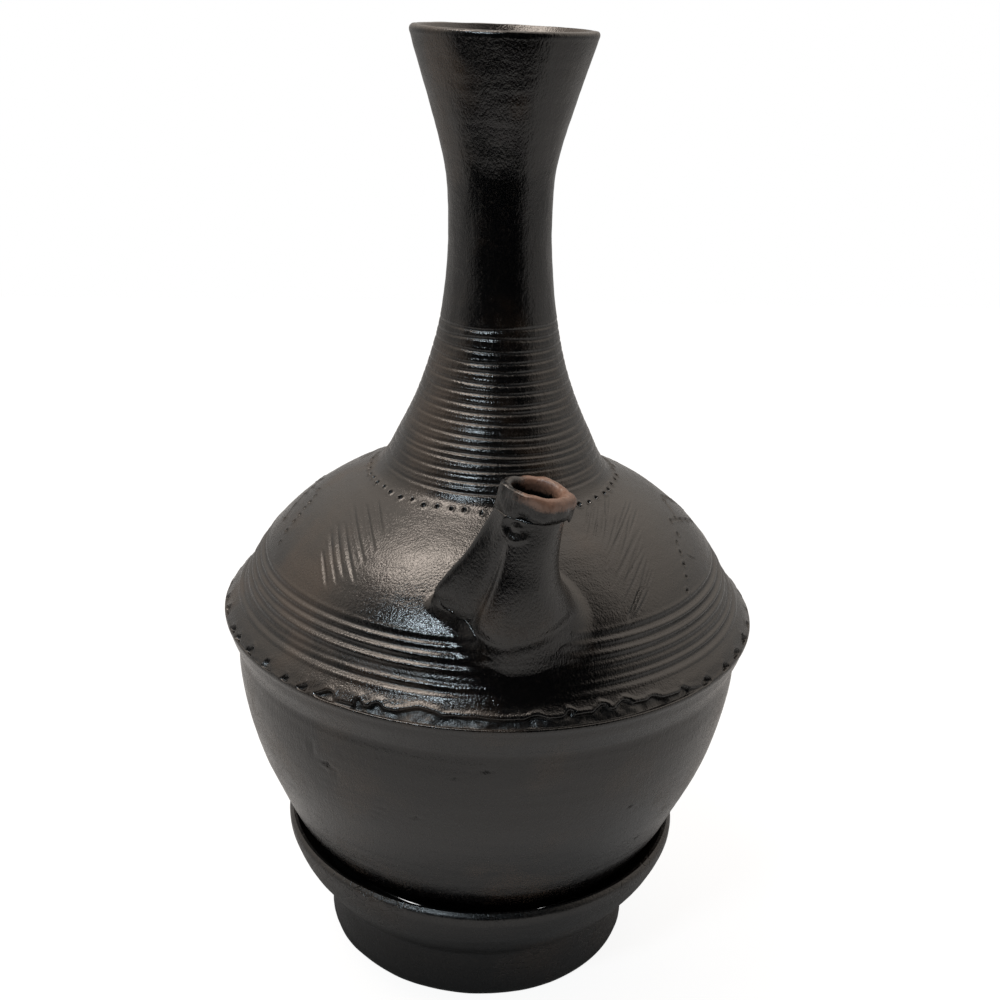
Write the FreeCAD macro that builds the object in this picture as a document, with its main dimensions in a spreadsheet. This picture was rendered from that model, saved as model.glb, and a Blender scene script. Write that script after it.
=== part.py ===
import FreeCAD, Part

import os

import Sketcher

# Jebena coffee pot standing in its ring stand, in millimetres.
# The origin is the centre of the stand's underside, +Z is up and the spout looks to -Y.
# A point of an outline is a station: its name has one value for r, the distance from
# the pot's axis, and one for z, the height above the table.

STATIONS = {
    "foot_bottom": (48.9, 0.0),
    "foot_waist": (49.3, 8.0),
    "foot_top": (50.6, 19.0),
    "cup_belly": (58.2, 26.5),
    "cup_shoulder": (63.6, 38.8),
    "cup_lip": (62.4, 41.6),
    "cup_lip_inside": (60.4, 40.2),
    "bowl_flat": (14.0, 13.3),
    "bowl_seat": (47.0, 29.3),
    "bowl_flank": (59.5, 43.0),
    "bowl_belly": (71.8, 70.0),
    "bowl_top": (78.0, 102.0),
    "flange_bead": (79.9, 107.2),
    "flange_notch": (80.2, 111.6),
    "flange_nose": (81.8, 115.0),
    "flange_back": (80.2, 117.6),
    "shoulder_foot": (77.0, 120.6),
    "shoulder_low": (71.6, 130.0),
    "shoulder_mid": (64.0, 140.0),
    "shoulder_high": (52.0, 150.0),
    "shoulder_top": (35.3, 159.2),
    "cone_mid": (23.7, 182.0),
    "cone_top": (16.7, 207.0),
    "tube_waist": (14.8, 227.0),
    "tube_top": (15.2, 246.0),
    "mouth_mid": (19.4, 263.0),
    "mouth_edge": (25.9, 284.0),
    "mouth_lip": (24.9, 285.0),
    "bore_cone_mid": (17.2, 182.0),
    "bore_cone_top": (10.6, 207.0),
    "bore_waist": (9.4, 227.0),
    "bore_tube_top": (9.9, 246.0),
    "bore_mouth_mid": (14.2, 263.0),
    "bore_lip": (21.4, 285.0),
}

DIMENSIONS = {
    "wall": (6.0, "thickness of the pot's wall"),
    "stand_throat_radius": (42.0, "hole through the stand, which the pot's round bottom dips into"),
    "stand_foot_wall": (8.5, "width of the foot ring where it stands"),
    "stand_throat_drop": (6.0, "height from the throat's upper edge up to the seat"),
    "stand_flank_drop": (9.0, "how far below the bowl's flank the cup's inside bends"),
    "stand_flank_inset": (6.0, "how far the bowl has narrowed at that bend"),
    "seat_clearance": (0.3, "gap left between the pot and its seat in the stand"),
    "cup_clearance": (2.0, "gap between the pot and the inside of the stand's cup"),
    "groove_radius": (0.55, "half width of a ring groove"),
    "neck_groove_low": (163.2, "height of the lowest ring groove round the neck"),
    "neck_groove_step": (2.65, "height from one neck groove to the next"),
    "shoulder_groove_low": (122.6, "height of the lowest ring groove round the shoulder"),
    "shoulder_groove_step": (2.0, "height from one shoulder groove to the next"),
    "spout_bore_low": (7.4, "radius of the spout's bore at its root section"),
    "spout_bore_lip": (5.75, "radius of the spout's bore at the lip"),
    "spout_lip_radius": (9.7, "outside of the spout's lip"),
    "spout_lip_round": (1.6, "how far the lip's top edge is drawn in"),
    "spout_lip_edge": (2.0, "height of that drawn-in edge"),
    "spout_collar_bottom": (172.2, "height where the spout's thick lip begins"),
    "spout_collar_swell": (1.6, "height over which the thick lip swells out"),
    "spout_lip_top": (179.6, "height of the spout's lip"),
    "cut_margin": (2.0, "how far a cut runs past the clay that it cuts"),
    "handle_root": (12.0, "distance from the axis where the handle starts, inside the neck"),
    "handle_top": (208.0, "height of the handle's upper run"),
    "handle_reach": (54.0, "distance from the axis to the handle's outer run"),
    "handle_bend": (30.0, "radius of the handle's bend"),
    "handle_end": (138.0, "height where the handle ends, inside the shoulder"),
    "handle_half_width": (9.0, "half the width of the handle's strap"),
    "handle_half_depth": (5.2, "half the thickness of the handle's strap"),
}

# Sections of the spout from its root to its lip: height, distance of the middle from the
# axis, shift to the side, half width and half depth.
SPOUT_SECTIONS = {
    "root": (124.0, 59.0, -2.0, 20.0, 13.2),
    "skirt": (134.0, 59.8, -2.0, 19.6, 15.8),
    "hip": (146.0, 62.8, -1.0, 15.2, 13.6),
    "waist": (158.0, 66.7, 0.4, 10.2, 10.0),
    "throat": (172.2, 70.2, 2.0, 8.5, 8.4),
}

NECK_GROOVES = 17
SHOULDER_GROOVES = 6

doc = FreeCAD.newDocument("jebena")
sheet = doc.addObject("Spreadsheet::Sheet", "Dims")


def fill_sheet():
    """Write every driving dimension into the spreadsheet, each under its own alias."""
    rows = []
    for name, (radius, height) in STATIONS.items():
        rows.append((name + "_r", radius, "distance from the axis"))
        rows.append((name + "_z", height, "height"))
    for name, (value, note) in DIMENSIONS.items():
        rows.append((name, value, note))
    parts_of_section = ("height", "reach", "shift", "half_width", "half_depth")
    for name, values in SPOUT_SECTIONS.items():
        for part, value in zip(parts_of_section, values):
            rows.append((f"spout_{name}_{part}", value, "section of the spout"))
    for row, (alias, value, note) in enumerate(rows, start=1):
        sheet.set(f"A{row}", alias)
        sheet.set(f"B{row}", str(value))
        sheet.set(f"C{row}", note)
        sheet.setAlias(f"B{row}", alias)
    doc.recompute()


def at(name):
    """Radius and height of a station, as expressions on the spreadsheet."""
    return (f"Dims.{name}_r", f"Dims.{name}_z")


def inward(name, across=0.0, down=0.0):
    """A station moved into the clay by so many wall thicknesses across and down."""
    return (f"Dims.{name}_r - {across} * Dims.wall", f"Dims.{name}_z - {down} * Dims.wall")


def evaluate(expression):
    """The number that an expression on the spreadsheet gives now."""
    value = sheet.evalExpression(expression)
    return float(getattr(value, "Value", value))


def make_body(name):
    """An empty body whose label is the piece's name."""
    body = doc.addObject("PartDesign::Body", name)
    body.Label = name
    return body


def plane_of(body, role):
    """One of the body's own origin planes."""
    return next(feature for feature in body.Origin.OriginFeatures if feature.Role == role)


def make_sketch(body, name, role="XZ_Plane"):
    """A sketch on one of the body's origin planes."""
    sketch = body.newObject("Sketcher::SketchObject", f"{body.Name}_{name}")
    sketch.AttachmentSupport = [(plane_of(body, role), "")]
    sketch.MapMode = "FlatFace"
    return sketch


def bind(sketch, kind, *what, expression):
    """Add a dimension to the sketch and tie it to an expression."""
    index = sketch.addConstraint(Sketcher.Constraint(kind, *what, evaluate(expression)))
    sketch.setExpression(f"Constraints[{index}]", expression)


def bind_point(sketch, geometry, end, across, height):
    """Hold one point of the sketch at a distance from the axis and at a height."""
    if across == "0":
        sketch.addConstraint(Sketcher.Constraint("PointOnObject", geometry, end, -2))
    else:
        bind(sketch, "DistanceX", -1, 1, geometry, end, expression=across)
    bind(sketch, "DistanceY", -1, 1, geometry, end, expression=height)


def as_vector(place):
    """Sketch position of a station given as two expressions."""
    return FreeCAD.Vector(evaluate(place[0]), evaluate(place[1]), 0)


def add_arc(sketch, start, via, end):
    """An arc from start through via to end. Returns its index and which ends are which."""
    circle = Part.Arc(as_vector(start), as_vector(via), as_vector(end))
    arc = sketch.addGeometry(circle)
    tip = sketch.getPoint(arc, 1)
    starts_first = tip.distanceToPoint(as_vector(start)) < tip.distanceToPoint(as_vector(end))
    middle = sketch.addGeometry(Part.Point(as_vector(via)), True)
    bind_point(sketch, middle, 1, *via)
    sketch.addConstraint(Sketcher.Constraint("PointOnObject", middle, 1, arc))
    return arc, (1, 2) if starts_first else (2, 1)


def draw_outline(sketch, places):
    """Draw a closed outline. A place is two expressions and gets a straight line to it.
    Two places together are an arc through the first to the second."""
    steps = list(places[1:])
    if steps[-1][-1] != places[0]:
        steps.append(places[0])
    here = places[0]
    edges = []
    for step in steps:
        if isinstance(step[0], tuple):
            via, there = step
            index, (first, last) = add_arc(sketch, here, via, there)
        else:
            there = step
            line = Part.LineSegment(as_vector(here), as_vector(there))
            index, first, last = sketch.addGeometry(line), 1, 2
        edges.append((index, first, last, there))
        here = there
    for edge, following in zip(edges, edges[1:] + edges[:1]):
        index, first, last, there = edge
        joint = (index, last, following[0], following[1])
        sketch.addConstraint(Sketcher.Constraint("Coincident", *joint))
        bind_point(sketch, index, last, *there)


def revolve(body, sketch, kind="PartDesign::Revolution"):
    """Turn the sketch once round the pot's axis, as clay or as a cut."""
    turned = body.newObject(kind, f"{sketch.Name}_turned")
    turned.Profile = sketch
    turned.ReferenceAxis = (sketch, ["V_Axis"])
    turned.Angle = 360
    sketch.Visibility = False
    return turned


def turned_piece(name, places):
    """A piece of the pot or the stand that is a turned ring or shell."""
    body = make_body(name)
    sketch = make_sketch(body, "outline")
    draw_outline(sketch, places)
    revolve(body, sketch)
    return body


def ring_grooves(body, curve, low, step, count):
    """Cut ring grooves whose middles lie on the piece's outer curve."""
    start, via, end = curve
    sketch = make_sketch(body, "grooves")
    arc, ends = add_arc(sketch, start, via, end)
    sketch.setConstruction(arc, True)
    bind_point(sketch, arc, ends[0], *start)
    bind_point(sketch, arc, ends[1], *end)
    round_curve = sketch.Geometry[arc]
    side = 1 if as_vector(via).x > round_curve.Center.x else -1
    radius = evaluate("Dims.groove_radius")
    for number in range(count):
        height = f"{low} + {number} * {step}"
        rise = evaluate(height) - round_curve.Center.y
        across = round_curve.Center.x + side * (round_curve.Radius ** 2 - rise ** 2) ** 0.5
        middle = FreeCAD.Vector(across, evaluate(height), 0)
        circle = sketch.addGeometry(Part.Circle(middle, FreeCAD.Vector(0, 0, 1), radius))
        sketch.addConstraint(Sketcher.Constraint("PointOnObject", circle, 3, arc))
        bind(sketch, "DistanceY", -1, 1, circle, 3, expression=height)
        bind(sketch, "Radius", circle, expression="Dims.groove_radius")
    revolve(body, sketch, "PartDesign::Groove")


def level_sketch(body, name, height):
    """A sketch that lies level at the height that an expression gives."""
    sketch = make_sketch(body, name, "XY_Plane")
    sketch.setExpression("AttachmentOffset.Base.z", height)
    return sketch


def hold_ellipse(sketch, oval, across, height, half_width, half_depth):
    """Tie an ellipse's middle and its two half axes to expressions."""
    sketch.exposeInternalGeometry(oval)
    width_line, depth_line = oval + 1, oval + 2
    sketch.addConstraint(Sketcher.Constraint("Horizontal", width_line))
    bind_point(sketch, oval, 3, across, height)
    bind(sketch, "Distance", width_line, expression=f"2 * {half_width}")
    bind(sketch, "Distance", depth_line, expression=f"2 * {half_depth}")


def ellipse_section(body, name):
    """One level section of the spout, as wide and deep as its row in the spreadsheet says."""
    of = f"Dims.spout_{name}_"
    sketch = level_sketch(body, name, of + "height")
    middle = FreeCAD.Vector(evaluate(of + "shift"), -evaluate(of + "reach"), 0)
    side = middle + FreeCAD.Vector(evaluate(of + "half_width"), 0, 0)
    back = middle + FreeCAD.Vector(0, evaluate(of + "half_depth"), 0)
    oval = sketch.addGeometry(Part.Ellipse(side, back, middle))
    hold_ellipse(sketch, oval, of + "shift", f"-{of}reach", of + "half_width", of + "half_depth")
    return sketch


def circle_section(body, name, height, shift, reach, radius):
    """One round level section."""
    sketch = level_sketch(body, name, height)
    middle = FreeCAD.Vector(evaluate(shift), -evaluate(reach), 0)
    circle = sketch.addGeometry(Part.Circle(middle, FreeCAD.Vector(0, 0, 1), evaluate(radius)))
    bind(sketch, "DistanceX", -1, 1, circle, 3, expression=shift)
    bind(sketch, "DistanceY", -1, 1, circle, 3, expression=f"-({reach})")
    bind(sketch, "Radius", circle, expression=radius)
    return sketch


def loft(body, sections, kind="PartDesign::AdditiveLoft", ruled=False):
    """Clay or a cut that runs through level sections."""
    shape = body.newObject(kind, f"{sections[0].Name}_loft")
    shape.Profile = sections[0]
    shape.Sections = sections[1:]
    shape.Ruled = ruled
    for sketch in sections:
        sketch.Visibility = False
    return shape


def on_spout_bore(height):
    """Side shift, reach and radius of the spout's straight bore at a height."""
    skirt, throat = "Dims.spout_skirt_", "Dims.spout_throat_"
    along = f"(({height}) - {skirt}height) / ({throat}height - {skirt}height)"
    shift = f"{skirt}shift + {along} * ({throat}shift - {skirt}shift)"
    reach = f"{skirt}reach + {along} * ({throat}reach - {skirt}reach)"
    length = "(Dims.spout_lip_top - Dims.spout_root_height)"
    narrowing = f"(Dims.spout_bore_low - Dims.spout_bore_lip) / {length}"
    radius = f"Dims.spout_bore_lip + (Dims.spout_lip_top - ({height})) * {narrowing}"
    return shift, reach, radius


def bore_through(body, low, high):
    """Cut the spout's straight bore between two heights."""
    sections = []
    for name, height in (("bore_low", low), ("bore_high", high)):
        sections.append(circle_section(body, name, height, *on_spout_bore(height)))
    loft(body, sections, "PartDesign::SubtractiveLoft", ruled=True)


def cut_back_to_pot(body, places):
    """Cut a luted piece back to the pot's outer surface, so that the two meet face to face."""
    sketch = make_sketch(body, "pot_surface")
    draw_outline(sketch, places)
    revolve(body, sketch, "PartDesign::Groove")


SHOULDER_OUTSIDE = [
    at("shoulder_foot"),
    (at("shoulder_low"), at("shoulder_mid")),
    (at("shoulder_high"), at("shoulder_top")),
]
BORE_LOW = "Dims.spout_root_height - 2 * Dims.cut_margin"


def make_stand_foot():
    inner_low = ("Dims.foot_bottom_r - Dims.stand_foot_wall", "Dims.foot_bottom_z")
    inner_high = ("Dims.stand_throat_radius", "Dims.foot_top_z")
    return turned_piece("stand_foot", [
        inner_low,
        at("foot_bottom"),
        (at("foot_waist"), at("foot_top")),
        inner_high,
    ])


def make_stand_cup():
    # The bowl slopes at about 45 degrees at the seat, so the clearance is split both ways.
    seat = (
        "Dims.bowl_seat_r + sqrt(0.5) * Dims.seat_clearance",
        "Dims.bowl_seat_z - sqrt(0.5) * Dims.seat_clearance",
    )
    flank = (
        "Dims.bowl_flank_r - Dims.stand_flank_inset + Dims.cup_clearance",
        "Dims.bowl_flank_z - Dims.stand_flank_drop",
    )
    throat_low = ("Dims.stand_throat_radius", "Dims.foot_top_z")
    throat_high = ("Dims.stand_throat_radius", "Dims.bowl_seat_z - Dims.stand_throat_drop")
    return turned_piece("stand_cup", [
        throat_low,
        at("foot_top"),
        (at("cup_belly"), at("cup_shoulder")),
        at("cup_lip"),
        at("cup_lip_inside"),
        flank,
        seat,
        throat_high,
    ])


def make_lower_bowl():
    return turned_piece("lower_bowl", [
        ("0", "Dims.bowl_flat_z"),
        at("bowl_flat"),
        (at("bowl_seat"), at("bowl_flank")),
        (at("bowl_belly"), at("bowl_top")),
        inward("bowl_top", across=1),
        (inward("bowl_belly", across=0.95, down=-0.3), inward("bowl_flank", across=0.8, down=-0.6)),
        (inward("bowl_seat", across=0.6, down=-0.8), inward("bowl_flat", down=-1)),
        ("0", "Dims.bowl_flat_z + Dims.wall"),
    ])


def make_flange_band():
    return turned_piece("flange_band", [
        inward("bowl_top", across=1),
        at("bowl_top"),
        (at("flange_bead"), at("flange_notch")),
        (at("flange_nose"), at("flange_back")),
        at("shoulder_foot"),
        inward("shoulder_foot", across=1),
    ])


def make_shoulder_dome():
    body = turned_piece("shoulder_dome", SHOULDER_OUTSIDE + [
        inward("shoulder_top", across=1),
        (inward("shoulder_high", across=0.5, down=0.9), inward("shoulder_mid", across=0.75, down=0.7)),
        (inward("shoulder_low", across=0.9, down=0.4), inward("shoulder_foot", across=1)),
    ])
    curve = (SHOULDER_OUTSIDE[0], *SHOULDER_OUTSIDE[1])
    low, step = "Dims.shoulder_groove_low", "Dims.shoulder_groove_step"
    ring_grooves(body, curve, low, step, SHOULDER_GROOVES)
    bore_through(body, BORE_LOW, "Dims.spout_waist_height")
    return body


def make_neck_cone():
    bottom_inside = inward("shoulder_top", across=1)
    body = turned_piece("neck_cone", [
        bottom_inside,
        at("shoulder_top"),
        (at("cone_mid"), at("cone_top")),
        at("bore_cone_top"),
        (at("bore_cone_mid"), bottom_inside),
    ])
    curve = (at("shoulder_top"), at("cone_mid"), at("cone_top"))
    ring_grooves(body, curve, "Dims.neck_groove_low", "Dims.neck_groove_step", NECK_GROOVES)
    return body


def make_neck_tube():
    return turned_piece("neck_tube", [
        at("bore_cone_top"),
        at("cone_top"),
        (at("tube_waist"), at("tube_top")),
        at("bore_tube_top"),
        (at("bore_waist"), at("bore_cone_top")),
    ])


def make_mouth_flare():
    return turned_piece("mouth_flare", [
        at("bore_tube_top"),
        at("tube_top"),
        (at("mouth_mid"), at("mouth_edge")),
        at("mouth_lip"),
        at("bore_lip"),
        (at("bore_mouth_mid"), at("bore_tube_top")),
    ])


def make_spout_tube():
    body = make_body("spout_tube")
    loft(body, [ellipse_section(body, name) for name in SPOUT_SECTIONS])
    below_flange = "Dims.shoulder_foot_z - Dims.cut_margin"
    cut_back_to_pot(body, [
        ("0", below_flange),
        ("Dims.shoulder_foot_r", below_flange),
        *SHOULDER_OUTSIDE,
        ("0", "Dims.shoulder_top_z"),
    ])
    bore_through(body, BORE_LOW, "Dims.spout_collar_bottom + Dims.cut_margin")
    return body


def make_spout_collar():
    body = make_body("spout_collar")
    levels = (
        ("foot", "Dims.spout_collar_bottom", "Dims.spout_throat_half_width"),
        ("swell", "Dims.spout_collar_bottom + Dims.spout_collar_swell", "Dims.spout_lip_radius"),
        ("edge", "Dims.spout_lip_top - Dims.spout_lip_edge", "Dims.spout_lip_radius"),
        ("lip", "Dims.spout_lip_top", "Dims.spout_lip_radius - Dims.spout_lip_round"),
    )
    sections = []
    for name, height, radius in levels:
        shift, reach, _ = on_spout_bore(height)
        sections.append(circle_section(body, name, height, shift, reach, radius))
    loft(body, sections, ruled=True)
    bore_through(
        body,
        "Dims.spout_collar_bottom - Dims.cut_margin",
        "Dims.spout_lip_top + Dims.cut_margin",
    )
    return body


def make_handle_strap():
    body = make_body("handle_strap")
    path = make_sketch(body, "path", "YZ_Plane")
    bend_start = ("Dims.handle_reach - Dims.handle_bend", "Dims.handle_top")
    bend_mid = (
        "Dims.handle_reach - Dims.handle_bend * (1 - sqrt(0.5))",
        "Dims.handle_top - Dims.handle_bend * (1 - sqrt(0.5))",
    )
    bend_end = ("Dims.handle_reach", "Dims.handle_top - Dims.handle_bend")
    root = ("Dims.handle_root", "Dims.handle_top")
    end = ("Dims.handle_reach", "Dims.handle_end")
    top_run = path.addGeometry(Part.LineSegment(as_vector(root), as_vector(bend_start)))
    bend, (bend_first, bend_last) = add_arc(path, bend_start, bend_mid, bend_end)
    down_run = path.addGeometry(Part.LineSegment(as_vector(bend_end), as_vector(end)))
    path.addConstraint(Sketcher.Constraint("Coincident", top_run, 2, bend, bend_first))
    path.addConstraint(Sketcher.Constraint("Coincident", bend, bend_last, down_run, 1))
    bind_point(path, top_run, 1, *root)
    bind_point(path, top_run, 2, *bend_start)
    bind_point(path, down_run, 1, *bend_end)
    bind_point(path, down_run, 2, *end)

    strap = make_sketch(body, "strap")
    strap.setExpression("AttachmentOffset.Base.z", "-Dims.handle_root")
    middle = FreeCAD.Vector(0, evaluate("Dims.handle_top"), 0)
    side = middle + FreeCAD.Vector(evaluate("Dims.handle_half_width"), 0, 0)
    top = middle + FreeCAD.Vector(0, evaluate("Dims.handle_half_depth"), 0)
    oval = strap.addGeometry(Part.Ellipse(side, top, middle))
    hold_ellipse(strap, oval, "0", "Dims.handle_top", "Dims.handle_half_width", "Dims.handle_half_depth")

    pipe = body.newObject("PartDesign::AdditivePipe", "handle_strap_pipe")
    pipe.Profile = strap
    pipe.Spine = (path, [])
    path.Visibility = False
    strap.Visibility = False
    cut_back_to_pot(body, [
        ("0", "Dims.spout_root_height"),
        ("Dims.shoulder_foot_r", "Dims.spout_root_height"),
        *SHOULDER_OUTSIDE,
        (at("cone_mid"), at("cone_top")),
        (at("tube_waist"), at("tube_top")),
        ("0", "Dims.tube_top_z"),
    ])
    return body


def check(body):
    """Stop if any object failed, or if a piece isn't one valid solid."""
    for item in doc.Objects:
        if "Invalid" in item.State or "Error" in item.State:
            raise RuntimeError(f"{item.Label} did not build: {item.State}")
    shape = body.Shape
    if shape.isNull() or not shape.isValid() or len(shape.Solids) != 1:
        raise RuntimeError(f"{body.Label} is not one valid solid")


fill_sheet()
pieces = [
    make_stand_foot(),
    make_stand_cup(),
    make_lower_bowl(),
    make_flange_band(),
    make_shoulder_dome(),
    make_neck_cone(),
    make_neck_tube(),
    make_mouth_flare(),
    make_spout_tube(),
    make_spout_collar(),
    make_handle_strap(),
]
doc.recompute()
for piece in pieces:
    check(piece)

os.makedirs("parts", exist_ok=True)
for piece in pieces:
    piece.Shape.exportStep(f"parts/{piece.Label}.step")
    box = piece.Shape.optimalBoundingBox(False, False)
    print(f"{piece.Label}: {piece.Shape.Volume / 1000:.1f} ml,"
          f" x {box.XMin:.1f} to {box.XMax:.1f},"
          f" y {box.YMin:.1f} to {box.YMax:.1f}, z {box.ZMin:.1f} to {box.ZMax:.1f}")
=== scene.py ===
"""Looks of the clay coffee pot and its ring stand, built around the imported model.
Outlines, sections and marks are in millimetres and degrees, meshes in metres.
A place on the pot is an azimuth, 0 at the spout and growing to the right, and a height."""

import math

import bmesh
import bpy
import numpy as np
from mathutils import Matrix, Vector


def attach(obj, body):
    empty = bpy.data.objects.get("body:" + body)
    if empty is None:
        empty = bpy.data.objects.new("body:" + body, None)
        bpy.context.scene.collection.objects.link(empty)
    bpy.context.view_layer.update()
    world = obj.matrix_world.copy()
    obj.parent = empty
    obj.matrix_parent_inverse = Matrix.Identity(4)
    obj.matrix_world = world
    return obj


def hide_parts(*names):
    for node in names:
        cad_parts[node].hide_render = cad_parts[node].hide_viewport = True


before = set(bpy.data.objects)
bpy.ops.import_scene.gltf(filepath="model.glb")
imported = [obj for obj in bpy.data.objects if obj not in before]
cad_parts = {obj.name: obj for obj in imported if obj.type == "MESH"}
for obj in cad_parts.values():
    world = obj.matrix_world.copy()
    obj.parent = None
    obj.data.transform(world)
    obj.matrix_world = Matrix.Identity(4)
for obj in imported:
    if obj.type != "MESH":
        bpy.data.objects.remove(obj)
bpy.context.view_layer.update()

MM = 0.001
TURN = 2 * math.pi

# Outer outline of the pot, radius and height, from the round bottom to the lip.
POT_OUTLINE = (
    (14.0, 13.3), (32.0, 19.4), (47.0, 29.3), (59.5, 43.0), (67.8, 60.0), (71.8, 70.0),
    (74.8, 80.0), (76.8, 90.0), (77.8, 97.5), (78.0, 102.0), (78.2, 105.2), (79.2, 107.6),
    (80.4, 110.4), (81.2, 113.0), (81.8, 114.9), (81.7, 115.5), (81.0, 116.4), (79.4, 118.5),
    (77.2, 120.8), (74.3, 125.0), (71.5, 130.0), (68.2, 135.0), (64.0, 140.0),
    (58.7, 145.0), (52.0, 150.0), (44.0, 154.4), (38.6, 157.3), (35.6, 159.2), (33.4, 161.9),
    (29.2, 170.0), (24.4, 180.0), (20.7, 190.0), (18.0, 200.0), (16.4, 209.0), (15.3, 219.0),
    (14.8, 228.0), (14.8, 237.0), (15.4, 246.5), (17.2, 255.0), (20.1, 265.0), (23.2, 275.0),
    (25.4, 282.4), (25.8, 284.0), (25.4, 284.8), (24.7, 285.0),
)
# Inside of the pot, from the bottom to the lip.
POT_INSIDE = (
    (14.0, 19.3), (43.4, 34.1), (54.7, 46.6), (66.1, 71.8), (72.0, 102.0), (71.0, 120.6),
    (66.2, 127.6), (59.5, 135.8), (49.0, 144.6), (29.3, 159.2), (17.2, 182.0), (10.6, 207.0),
    (9.4, 227.0), (9.9, 246.0), (14.2, 263.0), (20.9, 281.5), (22.6, 284.2), (23.6, 284.9),
)
STAND_OUTLINE = (
    (48.2, 0.0), (48.9, 0.7), (49.2, 4.0), (49.5, 9.0), (49.9, 14.0), (50.3, 16.6),
    (51.3, 18.4), (53.9, 21.4), (57.5, 26.1), (60.4, 30.6), (62.4, 35.2), (63.4, 38.6),
    (63.3, 40.6), (62.3, 41.7),
)
STAND_INSIDE = (
    (40.4, 0.0), (42.0, 19.0), (42.0, 23.3), (47.2, 29.1), (55.5, 34.0), (60.4, 40.4), (61.3, 41.5),
)
# Heights at which the insides end: the pot's bottom, its lip and the stand's rim.
BOTTOM_INSIDE, LIP_INSIDE, STAND_RIM_INSIDE = 19.3, 284.9, 41.5

# Sections of the spout: height, reach from the axis, shift to the side, how far it goes from
# there to the right and to the left, half depth, and the fin of smeared clay on its left.
SPOUT_SECTIONS = (
    (120.0, 58.6, -2.4, 19.4, 9.5, 12.6, 0.0), (124.0, 59.0, -2.2, 19.4, 10.0, 13.0, 0.0),
    (128.0, 59.3, -2.1, 19.4, 10.6, 13.6, 1.2), (134.0, 59.8, -2.0, 19.2, 12.0, 14.6, 3.4),
    (138.0, 60.6, -1.7, 18.4, 12.4, 14.2, 5.6), (142.0, 61.6, -1.4, 16.9, 12.2, 13.7, 7.8),
    (146.0, 62.8, -1.0, 14.5, 11.6, 13.0, 9.2), (152.0, 64.8, -0.3, 11.2, 10.7, 11.5, 8.0),
    (158.0, 66.7, 0.4, 9.4, 10.0, 9.9, 5.6), (165.0, 68.6, 1.2, 8.6, 9.5, 8.9, 3.2),
    (172.2, 70.2, 2.0, 8.4, 9.2, 8.4, 0.8), (180.0, 72.3, 2.8, 8.4, 8.9, 8.4, 0.0),
)
SPOUT_FOOT, BORE_FOOT, COLLAR_FOOT = 121.0, 126.0, 172.2
# The thick lip of the spout: how far outside the tube's own section, and height.
COLLAR_OUTLINE = (
    (0.0, 172.2), (0.45, 172.7), (1.1, 173.6), (1.45, 175.2), (1.4, 177.0), (1.0, 178.3),
    (0.1, 179.2), (-1.0, 179.6), (-2.0, 179.2), (-2.6, 178.2), (-2.8, 176.4), (-2.75, 172.2),
)
BORE_RADIUS_LOW, BORE_RADIUS_LIP = 7.4, 5.7
# Direction of the smeared fin round the spout and its spread, in degrees, and the lip's slant.
FIN_ANGLE, FIN_WIDTH = 172, 19
LIP_LEAN = 0.17

# Middle line of the handle behind the neck: distance from the axis and height.
HANDLE_LINE = (
    (13.2, 207.6), (18.0, 208.3), (26.0, 208.2), (36.0, 205.6), (45.0, 199.0), (51.0, 189.5),
    (53.6, 178.0), (54.2, 165.0), (54.0, 155.0), (53.8, 146.0),
)

NECK_GROOVES = (
    205.1, 202.3, 199.1, 196.1, 193.4, 190.2, 187.8, 184.9, 182.5, 179.6, 176.5, 174.2, 171.7,
    170.2, 167.9, 164.9, 162.1,
)
SHOULDER_GROOVES = (133.6, 131.2, 128.7, 126.4, 124.5, 122.4)
BEAD_TOP = 115.7
# Azimuths of the nicks above the flange's bead, where they can be seen from the spout's side.
SEEN_NICKS = (
    -82.7, -74.2, -69.7, -63.1, -55.9, -49.8, -44.5, -38.8, -31.6, -27.6, 3.2, 9.6, 16.0, 21.2,
    28.4, 36.4, 43.1, 50.8, 57.8, 64.6, 71.5,
)
# The widest gap in the torn edge: azimuth, width and height.
CHIP = (-19.0, 13.0, 2.6)
# Hatching strokes: azimuth and height of their two ends.
LEFT_HATCHING = (
    ((-60.3, 156.0), (-44.9, 151.7)), ((-62.0, 154.4), (-43.0, 148.5)),
    ((-67.0, 153.3), (-43.4, 145.6)), ((-61.5, 150.5), (-43.0, 141.7)),
    ((-63.8, 149.7), (-46.8, 141.7)), ((-62.9, 147.9), (-47.8, 140.0)),
    ((-59.2, 144.3), (-50.3, 138.7)),
)
RIGHT_HATCHING = (
    ((39.5, 156.6), (27.0, 152.2)), ((45.1, 156.9), (29.5, 151.9)), ((54.9, 157.0), (30.3, 150.2)),
    ((65.1, 154.6), (35.4, 150.2)), ((52.8, 153.8), (28.3, 147.0)), ((52.8, 151.1), (26.4, 142.9)),
    ((48.6, 149.8), (26.6, 139.2)), ((42.5, 144.2), (27.6, 135.3)), ((36.5, 141.1), (27.2, 135.2)),
)
DOT_ROW_START, DOT_ROW_STEP, DOT_ROW_HEIGHT = -104.0, 6.6, 158.1
DOTTED_LINES = (
    (-95.4, 149.3), (-91.1, 148.9), (-88.6, 147.7), (-87.1, 146.5), (-84.9, 145.2),
    (-83.7, 143.7), (-82.4, 141.4), (-80.2, 139.0), (66.9, 145.6), (62.3, 145.0), (59.4, 143.2),
    (56.6, 141.0), (53.9, 138.8), (51.0, 136.3), (71.2, 147.8), (75.7, 146.9), (78.6, 145.6),
    (82.8, 143.6), (88.1, 141.1),
)
DASHES = (
    ((61.3, 141.8), (64.1, 139.4)), ((-105.4, 145.7), (-101.7, 147.6)),
    ((-101.7, 147.6), (-95.4, 149.3)), ((71.2, 147.8), (88.1, 141.1)),
)

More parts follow.
